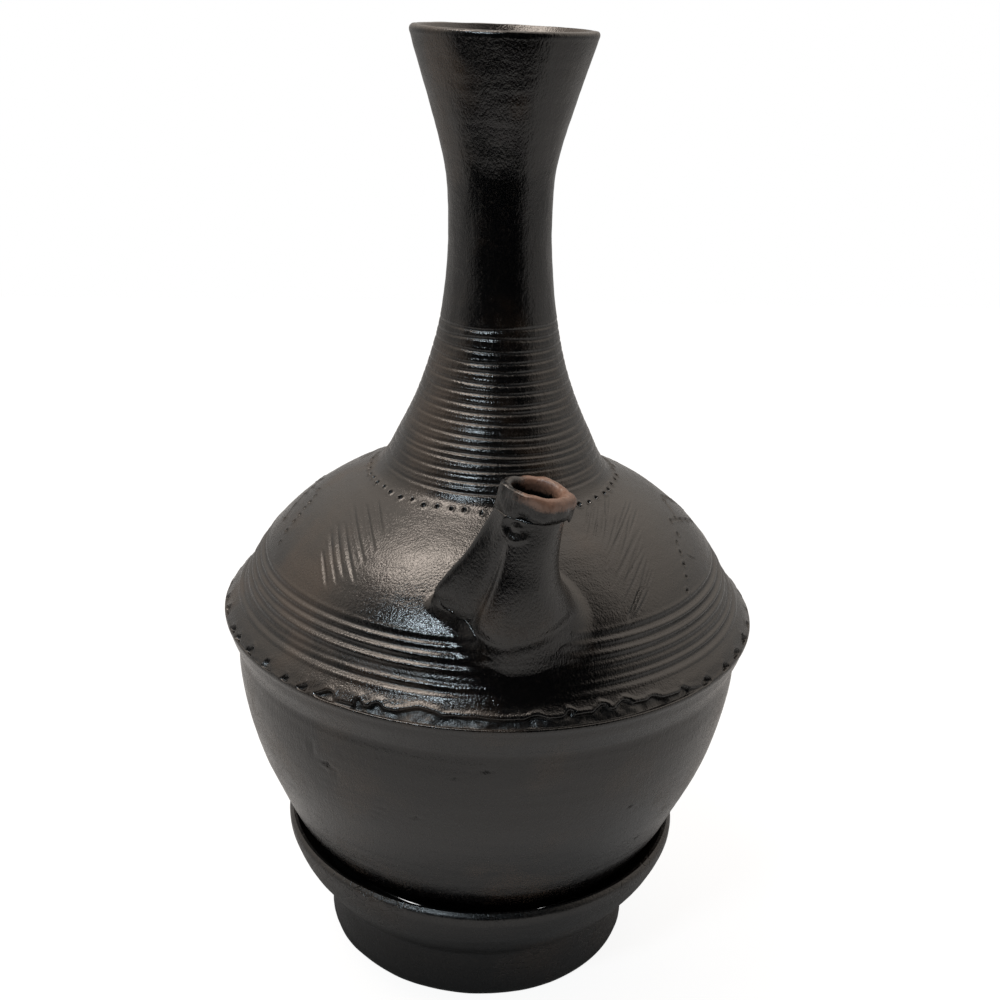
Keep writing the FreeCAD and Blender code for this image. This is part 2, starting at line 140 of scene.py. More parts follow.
# Scratches on the bowl: the two ends, half width and depth. Then pits, azimuth and height.
BOWL_SCRATCHES = (
    ((-44.7, 99.0), (-45.6, 89.8), 0.5, 0.4), ((-43.0, 92.5), (-38.5, 90.9), 0.4, 0.3),
    ((-42.6, 88.1), (-39.7, 94.7), 0.35, 0.25), ((-41.2, 94.0), (-40.0, 88.2), 0.35, 0.25),
    ((-37.2, 99.0), (-37.2, 96.6), 0.5, 0.35), ((-38.8, 91.2), (-39.0, 88.2), 0.45, 0.3),
    ((-30.4, 76.8), (-26.9, 84.2), 0.4, 0.25),
)
BOWL_PITS = ((-20.5, 81.7), (8.8, 72.6), (27.9, 80.4), (-6.3, 100.6), (-12.5, 97.8), (36.0, 62.0))
# Places where brown clay shows through the soot: azimuth, height and size.
BROWN_PLACES = (
    (-58.0, 138.0, 13.0), (-58.0, 177.0, 12.0), (-51.0, 277.0, 9.0), (8.0, 266.0, 5.0),
    (-20.0, 117.0, 5.0), (-85.0, 118.0, 7.0), (20.0, 18.0, 9.0), (62.0, 60.0, 16.0),
)

dice = np.random.default_rng(11)


def smooth_line(stations, spacing=0.05):
    """Points along a smooth curve through the stations, evenly spaced."""
    points = np.array(stations, float)
    moves = np.diff(points, axis=0)
    spans = np.linalg.norm(moves, axis=1)[:, None]
    steps = moves / spans
    inner = (steps[:-1] * spans[1:] + steps[1:] * spans[:-1]) / (spans[1:] + spans[:-1])
    ways = np.concatenate([steps[:1], inner, steps[-1:]])
    t = np.linspace(0, 1, 60, endpoint=False)[:, None]
    parts = []
    for start, move, span, way, next_way in zip(points, moves, spans, ways, ways[1:]):
        leave, arrive = (t ** 3 - 2 * t ** 2 + t) * span * way, (t ** 3 - t ** 2) * span * next_way
        parts.append(start + (3 * t ** 2 - 2 * t ** 3) * move + leave + arrive)
    fine = np.concatenate(parts + [points[-1:]])
    length = np.concatenate([[0], np.cumsum(np.linalg.norm(np.diff(fine, axis=0), axis=1))])
    even = np.linspace(0, length[-1], max(2, int(length[-1] / spacing) + 1))
    return np.stack([np.interp(even, length, column) for column in fine.T], 1)


class Outline:
    """A turned outline that can be read by height."""

    def __init__(self, stations):
        self.r, self.z = smooth_line(stations).T
        steps = np.hypot(np.diff(self.r), np.diff(self.z))
        self.s = np.concatenate([[0], np.cumsum(steps)])
        along_r, along_z = np.gradient(self.r, self.s), np.gradient(self.z, self.s)
        length = np.hypot(along_r, along_z)
        self.out_r, self.out_z = along_z / length, -along_r / length

    def radius(self, z):
        return np.interp(z, self.z, self.r)

    def travel(self, z):
        return np.interp(z, self.z, self.s)

    def nearest(self, points):
        """Height of the outline's nearest place to each of a few points."""
        r = np.hypot(points[:, 0], points[:, 1])
        away = np.hypot(r[:, None] - self.r, points[:, 2:] - self.z)
        return self.z[away.argmin(axis=1)]

    def outward(self, z):
        return np.interp(z, self.z, self.out_r), np.interp(z, self.z, self.out_z)

    def stretch(self, low, high, spacing):
        """Rows of radius and height from one height to another."""
        first, last = self.travel(low), self.travel(high)
        s = np.linspace(first, last, max(2, round((last - first) / spacing) + 1))
        return np.stack([np.interp(s, self.s, self.r), np.interp(s, self.s, self.z)], 1)


pot = Outline(POT_OUTLINE)
pot_inside = Outline(POT_INSIDE)
stand = Outline(STAND_OUTLINE)
stand_inside = Outline(STAND_INSIDE)


def spot(outline, azimuth, z):
    """Point on an outline's surface, from an azimuth in degrees and a height."""
    a = np.radians(azimuth)
    r = outline.radius(z)
    return np.stack(np.broadcast_arrays(r * np.sin(a), -r * np.cos(a), z), -1)


def ramp(value, low, high):
    """Smooth step from 0 at low to 1 at high."""
    t = np.clip((value - low) / (high - low), 0, 1)
    return t * t * (3 - 2 * t)


def bump(value, width):
    """Bell shape of height 1."""
    return np.exp(-(value / width) ** 2)


def turned_from(a, azimuth):
    """Angle from an azimuth in degrees to a, from minus half a turn to half a turn."""
    return np.mod(a - math.radians(azimuth) + math.pi, TURN) - math.pi


class Grain:
    """Soft random hills over azimuth and travel, the same on every run and without a seam."""

    def __init__(self, around, spacing):
        self.around, self.spacing = around, spacing
        self.table = dice.uniform(-1, 1, (around, 512))

    def at(self, a, s):
        u = np.mod(a / TURN, 1) * self.around
        v = np.mod(s / self.spacing, 508)
        i, j = u.astype(int), v.astype(int)
        across, along = self.shares(u - i), self.shares(v - j)
        total = 0.0
        for m in range(4):
            for n in range(4):
                total = total + across[m] * along[n] * self.table[(i + m) % self.around, j + n]
        return 1.9 * total

    @staticmethod
    def shares(f):
        """How much each of the four nearest values counts."""
        return ((1 - f) ** 3 / 6, (3 * f ** 3 - 6 * f ** 2 + 4) / 6,
                (3 * f + 3 * f ** 2 - 3 * f ** 3 + 1) / 6, f ** 3 / 6)


broad_hills = Grain(9, 26.0)
hand_hills = Grain(34, 7.0)
small_hills = Grain(170, 1.6)
fine_hills = Grain(420, 0.7)
drift_hills = Grain(14, 9.0)
brush_hills = Grain(26, 1.3)


spout_sections = smooth_line(SPOUT_SECTIONS, 0.2)


def spout_section(z):
    """Reach, shift, right and left width, half depth and fin of the spout at a height."""
    return [np.interp(z, spout_sections[:, 0], column) for column in spout_sections[:, 1:].T]


def spout_width(angle, z):
    """How far the spout goes to the side in the direction of an angle. 0 looks right."""
    _, _, right, left, _, fin = spout_section(z)
    from_fin = np.mod(np.degrees(angle), 360) - FIN_ANGLE
    return np.where(np.cos(angle) > 0, right, left + fin * bump(from_fin, FIN_WIDTH))


def spout_gap(points):
    """About how far points are outside the spout's tube."""
    reach, shift, right, _, half_depth, _ = spout_section(points[:, 2])
    x, y = points[:, 0] - shift, (points[:, 1] + reach) / half_depth
    width = right
    for _ in range(4):
        width = spout_width(np.arctan2(y, x / width), points[:, 2])
    rho = np.hypot(x / width, y) + 1e-9
    scale = 1 / np.hypot(x / rho / width ** 2, y / rho / half_depth)
    return (rho - 1) * scale


def pot_gap(points):
    """About how far points are outside the pot."""
    r = np.hypot(points[:, 0], points[:, 1])
    return (r - pot.radius(points[:, 2])) * pot.outward(points[:, 2])[0]


def slope_of(gap, points, step=0.05):
    """Unit direction in which a gap grows."""
    sides = [gap(points + step * axis) - gap(points - step * axis) for axis in np.eye(3)]
    way = np.stack(sides, 1)
    return way / np.linalg.norm(way, axis=1, keepdims=True)


def melt(gap, cosine, reach):
    """Height of the smeared clay that rounds the corner between two surfaces."""
    cosine = np.clip(cosine, 0, 1)
    half_bend = np.tan(np.arccos(cosine) / 2)
    along = gap / np.sqrt(np.clip(1 - cosine ** 2, 0.12, 1))
    near = np.clip(along, 0, reach)
    inside = np.clip(-along, 0, 1.6)
    return ramp(gap, -4, -1.2) * half_bend * (0.5 * reach * (1 - near / reach) ** 2 + inside)


def distance_to_line(points, line):
    """Distance of points to a chain of points, and how far along its nearest place is, 0 to 1."""
    best = np.full(len(points), 1e9)
    along = np.zeros(len(points))
    spans = len(line) - 1
    for number, (start, end) in enumerate(zip(line[:-1], line[1:])):
        way = end - start
        t = np.clip((points - start) @ way / (way @ way), 0, 1)
        away = np.linalg.norm(points - start - t[:, None] * way, axis=1)
        closer = away < best
        best = np.where(closer, away, best)
        along = np.where(closer, (number + t) / spans, along)
    return best, along


def groove(distance, half_width, depth, lip=0.3):
    """Scratched line: a hollow with a little clay pushed up beside it."""
    hollow = -depth * bump(distance, half_width)
    return hollow + lip * depth * bump(np.abs(distance) - 2.1 * half_width, 0.75 * half_width)


def ring_lines(a, s, heights, half_width, depth, fade):
    """Ring grooves that wander a little up and down and vary in depth, fainter at the sides."""
    total = np.zeros_like(s)
    for number, height in enumerate(heights):
        wander = 0.2 * np.sin(a + 1.7 * number) + 0.1 * np.sin(3 * a + 2.3 * number)
        wander += 0.2 * drift_hills.at(a, np.full_like(s, 9.0 * number))
        uneven = 1 + 0.4 * drift_hills.at(a + 2.0, np.full_like(s, number))
        strength = (1 - fade * np.sin(a + 0.12) ** 2) * uneven
        near = s - pot.travel(height) - wander
        total += strength * groove(near, half_width, depth)
    return total


def prick(points, azimuth, z, radius, depth):
    """A hole pricked into the clay, with its raised rim."""
    away = np.linalg.norm(points - spot(pot, azimuth, z), axis=1)
    hole = 1 - ramp(away, 0.45 * radius, 1.25 * radius)
    return 0.28 * depth * bump(away - 1.75 * radius, 0.5 * radius) - depth * hole


def stroke(points, start, end, half_width, depth):
    """One straight stroke scratched between two places, deepest in its middle."""
    first, last = spot(pot, *start), spot(pot, *end)
    chord = first + (last - first) * np.linspace(0, 1, 7)[:, None]
    line = spot(pot, np.degrees(np.arctan2(chord[:, 0], -chord[:, 1])), pot.nearest(chord))
    away, along = distance_to_line(points, line)
    taper = np.sqrt(np.clip(4 * along * (1 - along), 0.04, 1))
    return taper * groove(away, half_width, depth)


def hatching(points):
    """The hatched patches on both sides of the spout, and the same again at the back: broad
    strokes on the left, bundles of fine ones on the right."""
    total = np.zeros(len(points))
    for turn in (0.0, 180.0):
        for (a0, z0), (a1, z1) in LEFT_HATCHING:
            total += stroke(points, (a0 + turn, z0), (a1 + turn, z1), 0.42, dice.uniform(0.3, 0.42))
        for (a0, z0), (a1, z1) in RIGHT_HATCHING:
            for side in (0.0, -0.85, 0.9):
                first, last = dice.uniform(-0.08, 0.3, 2) * (side != 0)
                start = (a0 + turn + first * (a1 - a0), z0 + side + first * (z1 - z0))
                end = (a1 + turn - last * (a1 - a0), z1 + side - last * (z1 - z0))
                total += stroke(points, start, end, 0.27, dice.uniform(0.24, 0.34))
    return total


def pricked_ornament(points):
    """The row of pricked dots round the neck's foot and the dotted lines on the shoulder."""
    total = np.zeros(len(points))
    for number in range(round(360 / DOT_ROW_STEP)):
        azimuth = DOT_ROW_START + number * DOT_ROW_STEP + dice.uniform(-0.7, 0.7)
        height = DOT_ROW_HEIGHT + dice.uniform(-0.25, 0.25)
        total += prick(points, azimuth, height, dice.uniform(0.5, 0.66), dice.uniform(0.7, 1.0))
    for turn in (0.0, 180.0):
        for azimuth, height in DOTTED_LINES:
            total += prick(points, azimuth + turn, height, dice.uniform(0.4, 0.62), 0.7)
        for (a0, z0), (a1, z1) in DASHES:
            total += stroke(points, (a0 + turn, z0), (a1 + turn, z1), 0.35, 0.25)
    return total


def nick_places():
    """Azimuth, width and height of every nick in the torn edge."""
    unseen = np.arange(79.0, 272.0, 6.4)
    azimuths = np.concatenate([SEEN_NICKS, unseen + dice.uniform(-0.8, 0.8, len(unseen))])
    places = [(azimuth, dice.uniform(3.0, 7.0), dice.uniform(0.9, 2.6)) for azimuth in azimuths]
    return places + [CHIP]


def flange_relief(a, z):
    """The torn edge above the flange's bead: a recess in front, and nicks all round that reach
    up into the shoulder's clay. Upper is the height up to which the clay is gone."""
    cut = np.zeros_like(z)
    for azimuth, width, height in nick_places():
        away = turned_from(a, azimuth) * pot.radius(BEAD_TOP - 0.7)
        away = away + 0.6 * small_hills.at(a, 2 * z) + 0.3 * fine_hills.at(a, z)
        arch = np.clip(1 - np.abs(away / (0.5 * width)) ** 1.5, 0, 1)
        cut = np.maximum(cut, height * arch)
    front = ramp(np.cos(a - 0.05), 0.72, 0.95)
    upper = BEAD_TOP + 1.7 * front + cut * (1 - 0.45 * front) + 0.3 * hand_hills.at(a, 0 * z)
    upper = upper + 0.22 * small_hills.at(a, 0 * z)
    inside = ramp(z, BEAD_TOP - 0.4, BEAD_TOP + 0.1) * (1 - ramp(z, upper - 0.15, upper + 0.3))
    rough = 1.0 + 0.12 * fine_hills.at(a, z) + 0.2 * small_hills.at(a, z)
    deep = np.clip(upper - BEAD_TOP, 0, 1.3) * rough
    lip = (0.16 + 0.14 * front) * bump(z - upper - 0.7, 0.5) * np.clip(upper - BEAD_TOP, 0, 1)
    return lip - deep * inside


def pot_relief(points, a, s, z):
    """Height of the pot's surface over its smooth outline, and how hollow each place is."""
    slow = 0.24 * broad_hills.at(a, s) + 0.1 * hand_hills.at(a, s) + 0.02 * small_hills.at(a, s)
    slow = slow + 0.03 * brush_hills.at(a, s + 0.8 * np.sin(a))
    low, high = z.min(), z.max()
    marks = np.zeros_like(z)
    if low < 50:
        for start, end, half_width, depth in BOWL_SCRATCHES:
            marks += stroke(points, start, end, half_width, depth)
        for azimuth, height in BOWL_PITS:
            marks += prick(points, azimuth, height, 0.55, 0.4)
    if low < 200 and high > 165:
        marks += ring_lines(a, s, NECK_GROOVES, 0.42, 0.36, 0.75)
    if low > 119 and high < 165:
        clear = 1 - bump(np.degrees(a) - 2.0, 21.0) * (1 - ramp(z, 133, 139))
        marks += clear * ring_lines(a, s, SHOULDER_GROOVES, 0.8, 0.6, 0.2)
        free = ramp(spout_gap(points), 0.5, 2.5)
        marks += free * (hatching(points) + pricked_ornament(points))
    if low > 101 and high < 121:
        marks += flange_relief(a, z)
    return slow + marks, marks


def brownness(a, z, outline):
    """How much brown clay shows through the soot at a place."""
    total = np.zeros_like(z)
    for azimuth, height, size in BROWN_PLACES:
        away = np.hypot(turned_from(a, azimuth) * outline.radius(z), z - height)
        total = np.maximum(total, bump(away, size))
    return total


def glossiness(a, z):
    """Where the clay is rubbed to a mirror: under the spout, and up the front of the neck."""
    under_spout = bump(np.degrees(a) - 6, 34) * ramp(z, 119, 121) * ramp(z, 142, 132)
    return under_spout + bump(np.degrees(a) - 3, 20) * ramp(z, 200, 215)


def outward_ways(outline, a, z):
    """Unit directions straight out of an outline's surface."""
    out_r, out_z = outline.outward(z)
    return np.stack([out_r * np.sin(a), -out_r * np.cos(a), out_z], 1)


def sway(z):
    """How far the hand-built neck leans to the left at a height."""
    return -1.3 * ramp(z, 185, 275)


def mesh_from(bm, name):
    """A new object from a bmesh, smooth shaded, with its faces outwards."""
    bmesh.ops.recalc_face_normals(bm, faces=bm.faces[:])
    data = bpy.data.meshes.new(name)
    bm.to_mesh(data)
    bm.free()
    data.polygons.foreach_set("use_smooth", [True] * len(data.polygons))
    piece = bpy.data.objects.new(name, data)
    bpy.context.scene.collection.objects.link(piece)
    return piece


def read_points(piece):
    flat = np.empty(3 * len(piece.data.vertices))
    piece.data.vertices.foreach_get("co", flat)
    return flat.reshape(-1, 3) / MM


def write_points(piece, points):
    piece.data.vertices.foreach_set("co", (points * MM).ravel())
    piece.data.update()


def add_attribute(piece, name, values):
    layer = piece.data.attributes.new(name, "FLOAT", "POINT")
    layer.data.foreach_set("value", np.asarray(values, np.float32))


def wrapped_grid(name, place, around, along):
    """A tube whose points come from place(angle, row), welded round and wherever rows meet."""
    bm = bmesh.new()
    bmesh.ops.create_grid(bm, x_segments=around, y_segments=along, size=0.5)
    grid = np.array([v.co for v in bm.verts]) + 0.5
    points = place(grid[:, 0] * TURN, np.rint(grid[:, 1] * along).astype(int))
    for vert, point in zip(bm.verts, points * MM):
        vert.co = point
    bmesh.ops.remove_doubles(bm, verts=bm.verts[:], dist=1e-6)
    return mesh_from(bm, name)


def keep_crisp(piece, rings):
    """Mark the edges along these rings sharp, so that the faces beside a joint shade as one."""
    points = read_points(piece)
    r = np.hypot(points[:, 0], points[:, 1])
    ring_of = np.zeros(len(points), int)
    for number, (ring_r, ring_z) in enumerate(rings, start=1):
        ring_of[np.hypot(r - ring_r, points[:, 2] - ring_z) < 0.002] = number
    ends = np.empty(2 * len(piece.data.edges), np.int32)
    piece.data.edges.foreach_get("vertices", ends)
    first, last = ring_of[ends[0::2]], ring_of[ends[1::2]]
    sharp = piece.data.attributes.new("sharp_edge", "BOOLEAN", "EDGE")
    sharp.data.foreach_set("value", (first == last) & (first > 0))


def turned_shell(name, outside, inside, steps):
    """A ring or shell turned from its closed section. The rows of outside and inside are
    radius and height, both from the bottom up."""
    section = np.concatenate([outside, inside[::-1]])

    def place(angle, row):
        r, z = section[row % len(section)].T
        return np.stack([r * np.sin(angle), -r * np.cos(angle), z], 1)

    piece = wrapped_grid(name, place, steps, len(section))
    keep_crisp(piece, (outside[0], outside[-1], inside[0], inside[-1]))
    return piece


def outer_skin(points, outline):
    """Which points lie on an outline's surface, and the azimuths of all of them."""
    r = np.hypot(points[:, 0], points[:, 1])
    return np.abs(r - outline.radius(points[:, 2])) < 0.02, np.arctan2(points[:, 0], -points[:, 1])


def shape_pot_piece(name, low, high, spacing, steps):
    """One clay section of the pot between two heights, with its marks and its melted joint."""
    inside = pot_inside.stretch(max(low, BOTTOM_INSIDE), min(high, LIP_INSIDE), 4.0)
    piece = turned_shell(name, pot.stretch(low, high, spacing), inside, steps)
    points = read_points(piece)
    z = points[:, 2]
    outer, a = outer_skin(points, pot)
    height, marks = np.zeros_like(z), np.zeros_like(z)
    relief = pot_relief(points[outer], a[outer], pot.travel(z[outer]), z[outer])
    height[outer], marks[outer] = relief
    outward = outward_ways(pot, a, z)
    if name.startswith("shoulder_dome"):
        near = outer & (spout_gap(points) < 14)
        gap = spout_gap(points[near])
        cosine = (slope_of(spout_gap, points[near]) * outward[near]).sum(1)
        height[near] += melt(gap, cosine, melt_reach(points[near]))
    points += outward * (height * outer)[:, None]
    points[:, 0] += sway(z)
    write_points(piece, points)
    add_attribute(piece, "relief", marks)
    add_attribute(piece, "brown", brownness(a, z, pot))
    add_attribute(piece, "gloss", glossiness(a, z))
    return piece


def melt_reach(points):
    """How widely the spout's clay is smeared on to the shoulder: most in front."""
    reach, shift = spout_section(points[:, 2])[:2]
    way = np.arctan2(points[:, 0] - shift, -(points[:, 1] + reach))
    front = 0.5 + 0.5 * np.cos(way)
    left = np.clip(-np.sin(way), 0, 1)
    return 3.4 + 4.2 * front - 0.8 * left


def lip_lean(z):
    """How much the spout's lip leans down to the right at a height."""
    return LIP_LEAN * ramp(z, 160, 177)


def spout_point(angle, offset, z):
    """Point of the spout's skin, so far outside its own section. Angle 0 looks right."""
    reach, shift, _, _, half_depth, _ = spout_section(z)
    x = shift + (spout_width(angle, z) + offset) * np.cos(angle)
    y = -reach + (half_depth + offset) * np.sin(angle)
    return np.stack([x, y, z - lip_lean(z) * (x - shift)], 1)


def spout_wobble(angle, z):
    """Fingers' marks on the spout: slow hills, a soft step in front, a crease on the left and
    the ear-shaped dent under the lip."""
    hills = 0.2 * drift_hills.at(angle, z) + 0.06 * hand_hills.at(angle, z)
    front = ramp(-np.sin(angle), 0.1, 0.7)
    step = 0.35 * front * bump(z - 135.5 - 5.0 * np.cos(angle + 0.3) ** 2, 1.8)
    crease = 1.3 * bump(np.degrees(angle) - 212 - 0.5 * (z - 148), 9.0) * bump(z - 149, 15.0)
    aside, above = (np.degrees(angle) - 238) * 0.13, z - 170.0
    away = np.hypot(aside, above)
    rim = bump(away - 3.3, 0.8) * ramp(above + 1.2 * aside, 3.0, -1.0)
    ear = 0.4 * rim - 0.45 * bump(away - 1.7, 1.1) * ramp(aside, 2.2, -0.6)
    return hills - step - crease + ear * ramp(z, 172.4, 171.4)


def bore_point(angle, z):
    """Point of the spout's straight bore at a height."""
    reach, shift = spout_section(z)[:2]
    radius = np.interp(z, (124.0, 179.6), (BORE_RADIUS_LOW, BORE_RADIUS_LIP))
    x = radius * np.cos(angle)
    return np.stack([shift + x, radius * np.sin(angle) - reach, z - lip_lean(z) * x], 1)


def smeared_skin(angle, z):
    """Point of the spout's skin, with the clay melted on to the shoulder."""
    skin = spout_point(angle, spout_wobble(angle, z), z)
    gap, slope = pot_gap(skin), slope_of(spout_gap, skin)
    cosine = (slope * slope_of(pot_gap, skin)).sum(1)
    return skin + slope * np.where(gap < 9, melt(gap, cosine, melt_reach(skin)), 0)[:, None]


def shape_spout_tube():
    """The spout's conical tube, smeared on to the shoulder, with its bore."""
    rows_up, rows_down = 120, 30

    def place(angle, row):
        up = np.clip(row / rows_up, 0, 1)
        down = np.clip((row - rows_up - 1) / rows_down, 0, 1)
        skin = smeared_skin(angle, SPOUT_FOOT + (COLLAR_FOOT - SPOUT_FOOT) * up)
        bore = bore_point(angle, COLLAR_FOOT - (COLLAR_FOOT - BORE_FOOT) * down)
        first_ring = smeared_skin(angle, np.full_like(up, SPOUT_FOOT))
        outside, closing = row <= rows_up, row > rows_up + rows_down + 1
        return np.where(closing[:, None], first_ring, np.where(outside[:, None], skin, bore))

    piece = wrapped_grid("spout_tube_clay", place, 168, rows_up + rows_down + 2)
    x, y, z = read_points(piece).T
    reach, shift = spout_section(z)[:2]
    right = ramp(x - shift, 1, 8)
    add_attribute(piece, "worn", 0.42 * right * ramp(z, 152, 170))
    from_crease = np.degrees(np.arctan2(y + reach, -x)) + 55
    crease = 1.1 * bump(from_crease, 20) * ramp(z, 128, 138)
    add_attribute(piece, "gloss", crease + 0.7 * right - 0.6)
    return piece


def shape_spout_collar():
    """The thick worn lip of the spout, with the dent under its left side."""
    line = smooth_line(COLLAR_OUTLINE, 0.12)
    rows = len(line)

    def place(angle, row):
        i = row % rows
        offset, z = line[i, 0], line[i, 1]
        outside = ramp(offset, -2.2, 0.2)
        fullness = 0.58 + 0.42 * np.cos(angle + 0.1)
        offset = np.where(offset > 0, offset * fullness, offset)
        hills = 0.32 * hand_hills.at(angle, 3 * z) + 0.06 * small_hills.at(angle, z)
        offset = offset + outside * hills
        dent = bump(np.degrees(angle) - 243.0, 14.0) * bump(z - 172.8, 1.5)
        offset = offset - 0.9 * dent * outside
        top = 0.35 * hand_hills.at(angle, np.full_like(z, 40.0)) * ramp(z, 175, 179)
        edge = 0.9 * hand_hills.at(angle, np.full_like(z, 90.0)) - 0.4
        sag = np.minimum(edge, 0) * ramp(offset, 0.2, 0.8) * (1 - ramp(z, 172.6, 175.5))
        return spout_point(angle, offset, z) + np.stack([0 * z, 0 * z, top + sag], 1)

    piece = wrapped_grid("spout_collar_clay", place, 168, rows)
    x, _, z = read_points(piece).T
    x = x - spout_section(z)[1]
    height = z + LIP_LEAN * x
    add_attribute(piece, "worn", 0.75 * ramp(height, 174.2, 177.6) * (0.5 + 0.5 * ramp(x, -6, 0)))
    return piece


def shape_handle():
    """The strap handle, pressed flat and smeared on at both ends."""
    line = smooth_line(HANDLE_LINE, 0.6)
    rows = len(line) + 1
    length = np.concatenate([[0], np.cumsum(np.hypot(*np.diff(line, axis=0).T))])
    way = np.gradient(line, axis=0)
    way /= np.linalg.norm(way, axis=1, keepdims=True)

    def place(angle, row):
        i = np.clip(row - 1, 0, len(line) - 1)
        capped = (row < 1) | (row > len(line))
        s = length[i]
        end_flare = bump(s, 9.0) + 1.2 * bump(length[-1] - s, 9.0)
        width = 8.2 + 0.5 * np.sin(s / 14) + 3.2 * end_flare
        depth = 4.4 + 0.3 * np.cos(s / 9) + 1.6 * end_flare
        c, d = np.cos(angle), np.sin(angle)
        across = width * np.sign(c) * np.abs(c) ** 0.85
        thick = depth * np.sign(d) * np.abs(d) ** 0.9
        thick *= 1 - 0.6 * ramp(s, length[-1] - 5.0, length[-1])
        thick += 0.25 * hand_hills.at(angle, s) - 0.5 * bump(across, 3.0) * np.sign(d)
        shrink = np.where(capped, 0.0, 1.0)
        y = line[i, 0] + shrink * thick * way[i, 1]
        z = line[i, 1] - shrink * thick * way[i, 0]
        return np.stack([shrink * across, y, z], 1)

    return wrapped_grid("handle_strap_clay", place, 96, rows)


def shape_stand_piece(name, low, high, spacing, steps):
    """The foot ring or the cup of the stand."""
    inside = stand_inside.stretch(low, min(high, STAND_RIM_INSIDE), 1.5)
    piece = turned_shell(name, stand.stretch(low, high, spacing), inside, steps)
    points = read_points(piece)
    z = points[:, 2]
    outer, a = outer_skin(points, stand)
    s = stand.travel(z)
    relief = 0.3 * broad_hills.at(a + 1.0, s) + 0.14 * hand_hills.at(a, s)
    relief = relief + 0.03 * small_hills.at(a, s) + 0.03 * brush_hills.at(a, s)
    free = outer & (z > 0.01)
    points += outward_ways(stand, a, z) * (relief * free)[:, None]
    write_points(piece, points)
    add_attribute(piece, "brown", brownness(a, z, stand))
    return piece


class Wire:
    """A node's output socket. Sums with numbers and other wires add their Math nodes."""

    def __init__(self, tree, socket):
        self.tree, self.socket = tree, socket

    def maths(self, operation, first, second):
        settings = {"operation": operation}
        return add_node(self.tree, "ShaderNodeMath", settings, {0: first, 1: second})

    def __add__(self, other):
        return self.maths("ADD", self, other)

    def __sub__(self, other):
        return self.maths("SUBTRACT", self, other)

    def __rsub__(self, other):
        return self.maths("SUBTRACT", other, self)

    def __mul__(self, other):
        return self.maths("MULTIPLY", self, other)

    def __truediv__(self, other):
        return self.maths("DIVIDE", self, other)

    def __rtruediv__(self, other):
        return self.maths("DIVIDE", other, self)

    __radd__, __rmul__ = __add__, __mul__


def add_node(tree, kind, settings=None, inputs=None, output=0):
    """Add a node of any kind. Settings are set first, then its sockets get values or wires.
    Output None is for a node that has no outputs."""
    node = tree.nodes.new(kind)
    for name, value in (settings or {}).items():
        if name == "stops":
            ramp_stops = node.color_ramp.elements
            while len(ramp_stops) < len(value):
                ramp_stops.new(0.5)
            for stop, (position, colour) in zip(ramp_stops, value):
                stop.position, stop.color = position, colour
        else:
            setattr(node, name, value)
    for key, value in (inputs or {}).items():
        if isinstance(value, Wire):
            tree.links.new(value.socket, node.inputs[key])
        else:
            node.inputs[key].default_value = value
    return None if output is None else Wire(tree, node.outputs[output])


def blend(tree, share, first, second):
    """A mix of two colours."""
    inputs = {0: share, 6: first, 7: second}
    return add_node(tree, "ShaderNodeMix", {"data_type": "RGBA"}, inputs, output=2)


def turned_towards(tree, way, direction):
    """Dot product of a wire with a direction."""
    settings = {"operation": "DOT_PRODUCT"}
    inputs = {0: way, 1: direction}
    return add_node(tree, "ShaderNodeVectorMath", settings, inputs, output="Value")


def smooth_mask(tree, value, low, high):
    """0 below low and 1 above high."""
    inputs = {"Value": value, "From Min": low, "From Max": high}
    return add_node(tree, "ShaderNodeMapRange", {"interpolation_type": "SMOOTHSTEP"}, inputs)


def within(degrees):
    """Cosine of an angle in degrees."""
    return math.cos(math.radians(degrees))


class Finish:
    """A material under construction."""

    def __init__(self, name):
        self.material = bpy.data.materials.new(name)
        self.material.use_nodes = True
        self.tree = self.material.node_tree
        self.tree.nodes.clear()

    def add(self, kind, settings=None, inputs=None, output=0):
        return add_node(self.tree, kind, settings, inputs, output)

    def place(self, scale=(1, 1, 1)):
        """Object coordinates, stretched."""
        spot_in_piece = self.add("ShaderNodeTexCoord", output=3)
        return self.add("ShaderNodeMapping", None, {"Vector": spot_in_piece, "Scale": scale})

    def noise(self, scale, detail=3.0, roughness=0.5, stretch=(1, 1, 1)):
        inputs = {"Scale": scale, "Detail": detail, "Roughness": roughness}
        return self.add("ShaderNodeTexNoise", None, {"Vector": self.place(stretch), **inputs})

    def attribute(self, name):
        return self.add("ShaderNodeAttribute", {"attribute_name": name}, output=2)

    def mask(self, value, low, high):
        return smooth_mask(self.tree, value, low, high)

    def blend(self, share, first, second):
        return blend(self.tree, share, first, second)

    def raise_by(self, height, distance, strength=1.0, normal=None):
        inputs = {"Height": height, "Distance": distance, "Strength": strength}
        if normal is not None:
            inputs["Normal"] = normal
        return self.add("ShaderNodeBump", None, inputs)

    def finish(self, surface):
        self.add("ShaderNodeOutputMaterial", None, {"Surface": surface}, output=None)


def colour(red, green, blue):
    return (red, green, blue, 1.0)


